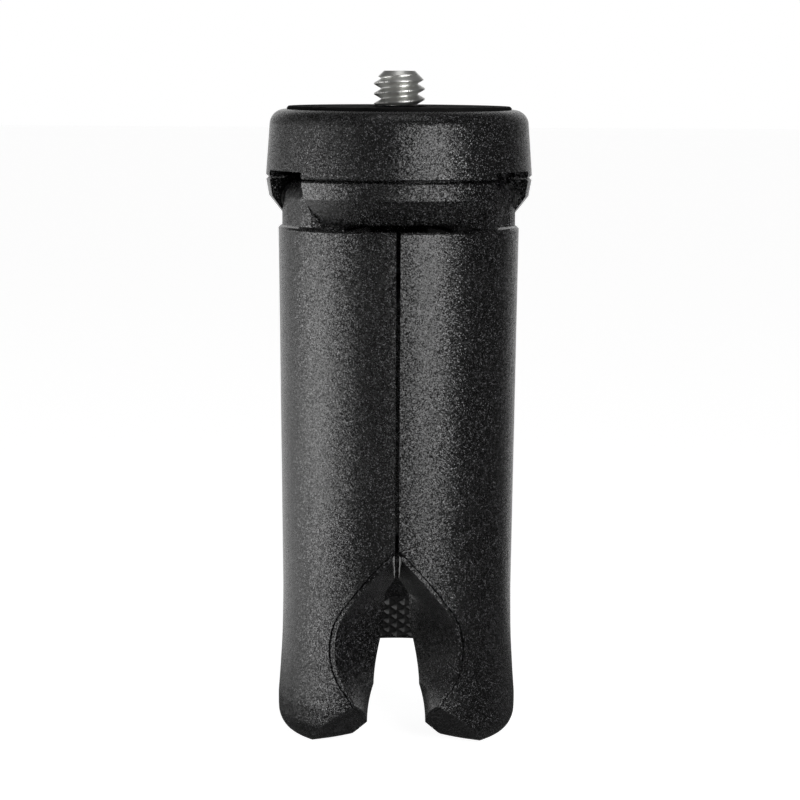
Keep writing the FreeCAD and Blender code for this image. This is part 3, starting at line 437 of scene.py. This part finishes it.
# Modelling


def node_box(name):
    """Lowest and highest corner of a node at rest, in metres."""
    low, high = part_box(name)
    return Vector(low), Vector(high)


def deselect():
    bpy.ops.object.select_all(action="DESELECT")


def activate(thing):
    """Select an object alone, and make it the one that operators work on."""
    deselect()
    thing.select_set(True)
    bpy.context.view_layer.objects.active = thing


def apply_modifier(thing, kind, **settings):
    """Add a modifier, set it up and apply it."""
    modifier = thing.modifiers.new(kind.lower(), kind)
    for name, value in settings.items():
        setattr(modifier, name, value)
    activate(thing)
    bpy.ops.object.modifier_apply(modifier=modifier.name)


def combine(thing, other, operation):
    """Join, cut or intersect an object with another, which is then gone."""
    apply_modifier(thing, "BOOLEAN", operation=operation, object=other, solver="EXACT")
    bpy.data.objects.remove(other)


def pick_vertices(thing, wanted):
    """Go into edit mode with only the vertices selected whose place passes the test, and what they bound."""
    activate(thing)
    bpy.ops.object.mode_set(mode="EDIT")
    bpy.ops.mesh.select_mode(type="VERT")
    bpy.ops.mesh.select_all(action="DESELECT")
    bpy.ops.object.mode_set(mode="OBJECT")
    for vertex in thing.data.vertices:
        vertex.select = wanted(vertex.co)
    bpy.ops.object.mode_set(mode="EDIT")
    bpy.ops.mesh.select_mode(type="VERT")


def name_last(name):
    """Name the object that an operator has just added, and put its place into its mesh."""
    thing = bpy.context.active_object
    thing.name = name
    thing.data.name = name
    bpy.ops.object.transform_apply(location=True, rotation=True, scale=True)
    return thing


def new_rod(name, radius, low, high, sides=96):
    """An upright cylinder about the Z axis."""
    deselect()
    bpy.ops.mesh.primitive_cylinder_add(
        vertices=sides, radius=radius, depth=high - low, location=(0, 0, (low + high) / 2))
    return name_last(name)


# Camera screw


class TRIPOD_OT_camera_screw(bpy.types.Operator):
    """Cut the camera screw's thread, and set the screw in the head"""
    bl_idname = "tripod.camera_screw"
    bl_label = "Make the camera screw"

    def execute(self, context):
        sizes = context.scene.tripod_screw
        low, high = node_box("camera_screw")
        screw = new_rod("threaded_camera_screw", sizes.root_radius, -sizes.pitch, high.z + sizes.pitch)
        combine(screw, self.thread_ridge(sizes, high.z), "UNION")
        combine(screw, self.full_form(sizes, high.z), "INTERSECT")
        if max(vertex.co.z for vertex in screw.data.vertices) < high.z - LOST_THREAD:
            raise RuntimeError("The screw's thread was lost when it was cut to its full form")
        combine(screw, self.shank(sizes, low.z), "UNION")
        head = self.hexagon_head(sizes, low.z)
        activate(screw)
        head.select_set(True)
        bpy.ops.object.join()
        activate(screw)
        bpy.ops.object.shade_smooth_by_angle(angle=SMOOTH_ANGLE)
        screw.data.materials.clear()
        screw.data.materials.append(finish_named("plated_steel"))
        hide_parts("camera_screw")
        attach(screw, "head")
        return {"FINISHED"}

    def thread_ridge(self, sizes, top):
        """The thread's outline, wound up round the screw and closed at both ends."""
        ridge = self.thread_outline(sizes)
        turns = math.ceil(top / sizes.pitch) + TURNS_BELOW_SEAT
        apply_modifier(ridge, "SCREW", axis="Z", angle=math.tau, screw_offset=sizes.pitch, iterations=turns,
                       steps=STEPS_PER_TURN, render_steps=STEPS_PER_TURN, use_merge_vertices=False)
        bpy.ops.object.mode_set(mode="EDIT")
        bpy.ops.mesh.select_all(action="SELECT")
        bpy.ops.mesh.remove_doubles(threshold=MERGE_DISTANCE)
        bpy.ops.mesh.select_all(action="DESELECT")
        bpy.ops.mesh.select_non_manifold(extend=False, use_wire=False, use_boundary=True,
                                         use_multi_face=False, use_non_contiguous=False, use_verts=False)
        bpy.ops.mesh.edge_face_add()
        bpy.ops.mesh.select_all(action="SELECT")
        bpy.ops.mesh.normals_make_consistent(inside=False)
        bpy.ops.object.mode_set(mode="OBJECT")
        return ridge

    def thread_outline(self, sizes):
        """The edges of a plane, shaped into the thread's outline on the right side of the screw."""
        foot = sizes.root_radius - RIDGE_OVERLAP
        depth = sizes.major_radius - foot
        middle = foot + depth / 2
        half_base = sizes.crest / 2 + depth * math.tan(FLANK_SLOPE)
        level = sizes.start - TURNS_BELOW_SEAT * sizes.pitch
        deselect()
        bpy.ops.mesh.primitive_plane_add(
            size=depth, location=(middle, 0, level), rotation=(math.radians(90), 0, 0))
        outline = name_last("thread_ridge")
        for inner, width in ((True, 2 * half_base), (False, sizes.crest)):
            pick_vertices(outline, lambda spot: (spot.x < middle) == inner)
            bpy.ops.transform.resize(value=(1, 1, width / depth), center_override=(0, 0, level))
            bpy.ops.object.mode_set(mode="OBJECT")
        bpy.ops.object.mode_set(mode="EDIT")
        bpy.ops.mesh.select_all(action="SELECT")
        bpy.ops.mesh.delete(type="ONLY_FACE")
        bpy.ops.object.mode_set(mode="OBJECT")
        return outline

    def full_form(self, sizes, top):
        """The threaded part's outer form: a rod with a bevelled tip."""
        rod = new_rod("full_form", sizes.major_radius, 0, top)
        pick_vertices(rod, lambda spot: spot.z > top - TIP_MARGIN)
        bpy.ops.mesh.bevel(offset=sizes.tip_bevel, offset_type="WIDTH", segments=1, affect="EDGES")
        bpy.ops.object.mode_set(mode="OBJECT")
        return rod

    def shank(self, sizes, foot):
        """The plain part, from inside the head to a crest's width above the thread's foot."""
        return new_rod("shank", sizes.shank_radius, foot + sizes.head_height - SHANK_OVERLAP, sizes.crest)

    def hexagon_head(self, sizes, foot):
        """The head that the cap holds up."""
        head = new_rod("hexagon_head", sizes.head_corner, foot, foot + sizes.head_height, sides=6)
        apply_modifier(head, "BEVEL", width=HEAD_BEVEL, segments=3, limit_method="ANGLE")
        return head


# Stage


def background_share(tree, side):
    """1 for a ray from the camera, and 0 for one that only brings light. A ray from a shiny or clear surface
    sees the background too, at full strength on the studio's white side, where side is 1, and dimmed on its
    dark side, where it is 0."""
    path = tree.nodes.new("ShaderNodeLightPath")
    room = tree.nodes.new("ShaderNodeMapRange")
    room.inputs["To Min"].default_value = ROOM_SHARE
    tree.links.new(side, room.inputs["Value"])
    shiny = math_node(tree, "MAXIMUM", path.outputs["Is Glossy Ray"], path.outputs["Is Transmission Ray"])
    seen = math_node(tree, "MULTIPLY", shiny, room.outputs["Result"])
    return math_node(tree, "MAXIMUM", path.outputs["Is Camera Ray"], seen)


def white_share(tree, place, side):
    """1 where a place or direction from the object is on the studio's white side, and 0 on its dark side."""
    heading = vector_node(tree, "NORMALIZE", place)
    along = vector_node(tree, "DOT_PRODUCT", heading, side.middle)
    blend = tree.nodes.new("ShaderNodeMapRange")
    blend.interpolation_type = "SMOOTHSTEP"
    blend.inputs["From Min"].default_value = side.start
    blend.inputs["From Max"].default_value = side.full
    tree.links.new(along, blend.inputs["Value"])
    return blend.outputs["Result"]


class TRIPOD_OT_stage(bpy.types.Operator):
    """Set the pale floor, the soft lights and the camera"""
    bl_idname = "tripod.stage"
    bl_label = "Set the stage"

    def execute(self, context):
        low = CAD_BOX[0]
        self.floor(low[2])
        self.world(context)
        self.lights(context)
        self.camera(context)
        context.scene.view_settings.view_transform = "Standard"
        return {"FINISHED"}

    def floor(self, height):
        """A floor that is white to the eye and in reflections on the white side, and keeps a shadow. In
        reflections its glow and colour are darkened round the object and on the dark side, which is painted
        shade.
        """
        deselect()
        bpy.ops.mesh.primitive_plane_add(size=FLOOR_WIDTH, location=(0, 0, height))
        floor = name_last("floor")
        pale = Finish("pale_floor", FLOOR_GREY)
        pale.shader.inputs["Roughness"].default_value = FLOOR_ROUGHNESS
        links = pale.tree.links
        level = vector_node(pale.tree, "MULTIPLY", pale.place, (1, 1, 0))
        # Painted shadow: in reflections the floor's glow fades out round the object.
        side = pale.multiply(white_share(pale.tree, level, FLOOR_WHITE), self.outside_painted_shadow(pale))
        glow = pale.tree.nodes.new("ShaderNodeEmission")
        links.new(pale.multiply(background_share(pale.tree, side), FLOOR_GLOW), glow.inputs["Strength"])
        shiny = pale.tree.nodes.new("ShaderNodeLightPath").outputs["Is Glossy Ray"]
        # Painted shade: in reflections the floor turns dark grey round the object and on the studio's dark
        # side.
        reflected_shade_share = math_node(pale.tree, "SUBTRACT", 1.0, side)
        pale.tint(pale.multiply(shiny, reflected_shade_share), FLOOR_GREY, FLOOR_REFLECTED_SHADE)
        add = pale.tree.nodes.new("ShaderNodeAddShader")
        links.new(pale.shader.outputs["BSDF"], add.inputs[0])
        links.new(glow.outputs["Emission"], add.inputs[1])
        links.new(add.outputs["Shader"], node_of_type(pale.tree, "OUTPUT_MATERIAL").inputs["Surface"])
        floor.data.materials.append(pale.material)

    def outside_painted_shadow(self, pale):
        """0 round the object, where its painted shadow lies, and 1 on the open floor."""
        near = vector_node(pale.tree, "MULTIPLY", pale.place, PAINTED_SHADOW_SHAPE)
        return pale.spread(vector_node(pale.tree, "LENGTH", near), *PAINTED_SHADOW_FADE)

    def world(self, context):
        """White to the eye and in reflections on the white side, and a dim fill for the rest."""
        world = bpy.data.worlds.new("studio")
        context.scene.world = world
        world.use_nodes = True
        tree = world.node_tree
        fill = node_of_type(tree, "BACKGROUND")
        white = tree.nodes.new("ShaderNodeBackground")
        for background, strength in ((fill, WORLD_FILL), (white, 1.0)):
            background.inputs["Color"].default_value = (1, 1, 1, 1)
            background.inputs["Strength"].default_value = strength
        direction = tree.nodes.new("ShaderNodeTexCoord").outputs["Generated"]
        mix = tree.nodes.new("ShaderNodeMixShader")
        tree.links.new(background_share(tree, white_share(tree, direction, WORLD_WHITE)), mix.inputs["Fac"])
        tree.links.new(fill.outputs["Background"], mix.inputs[1])
        tree.links.new(white.outputs["Background"], mix.inputs[2])
        tree.links.new(mix.outputs["Shader"], node_of_type(tree, "OUTPUT_WORLD").inputs["Surface"])

    def lights(self, context):
        """Softboxes that stand round the object and face it, and don't show themselves to the camera."""
        for box in SOFTBOXES:
            data = bpy.data.lights.new(box.name, "AREA")
            data.shape = "RECTANGLE"
            data.size, data.size_y = box.size
            data.energy = box.power
            lamp = bpy.data.objects.new(box.name, data)
            context.scene.collection.objects.link(lamp)
            lamp.visible_camera = False
            angle = math.radians(box.azimuth)
            lamp.location = (box.distance * math.sin(angle), -box.distance * math.cos(angle), box.height)
            lamp.rotation_euler = (LAMP_AIM - lamp.location).to_track_quat("-Z", "Y").to_euler()

    def camera(self, context):
        """The camera, where the photograph's camera stood."""
        settings = context.scene.tripod_stage
        data = bpy.data.cameras.new("camera")
        data.lens = settings.lens
        data.sensor_width = SENSOR_WIDTH
        camera = bpy.data.objects.new("camera", data)
        context.scene.collection.objects.link(camera)
        place = Matrix.Translation((settings.aside, -settings.distance, settings.height))
        look = Matrix.Rotation(math.radians(90) - settings.pitch, 4, "X")
        turn = Matrix.Rotation(settings.roll, 4, "Z")
        camera.matrix_world = place @ look @ turn
        context.scene.camera = camera


class TRIPOD_PT_panel(bpy.types.Panel):
    """Panel of the tripod's pieces"""
    bl_idname = "TRIPOD_PT_panel"
    bl_label = "Table tripod"
    bl_space_type = "VIEW_3D"
    bl_region_type = "UI"
    bl_category = "Tripod"

    def draw(self, context):
        column = self.layout.column()
        for operator in OPERATORS:
            column.operator(operator.bl_idname)
        for group in GROUPS:
            settings = getattr(context.scene, group)
            for name in settings.__annotations__:
                column.prop(settings, name)


OPERATORS = (TRIPOD_OT_dress_frame, TRIPOD_OT_camera_screw, TRIPOD_OT_stage)
GROUPS = {"tripod_screw": ScrewSizes, "tripod_colours": FinishColours, "tripod_stage": StageSettings}


def register():
    for item in (*GROUPS.values(), *OPERATORS, TRIPOD_PT_panel):
        bpy.utils.register_class(item)
    for name, group in GROUPS.items():
        setattr(bpy.types.Scene, name, bpy.props.PointerProperty(type=group))


def unregister():
    for name in GROUPS:
        delattr(bpy.types.Scene, name)
    for item in reversed((*GROUPS.values(), *OPERATORS, TRIPOD_PT_panel)):
        bpy.utils.unregister_class(item)


def main():
    register()
    bpy.ops.tripod.dress_frame()
    bpy.ops.tripod.camera_screw()
    bpy.ops.tripod.stage()


if __name__ == "__main__":
    main()
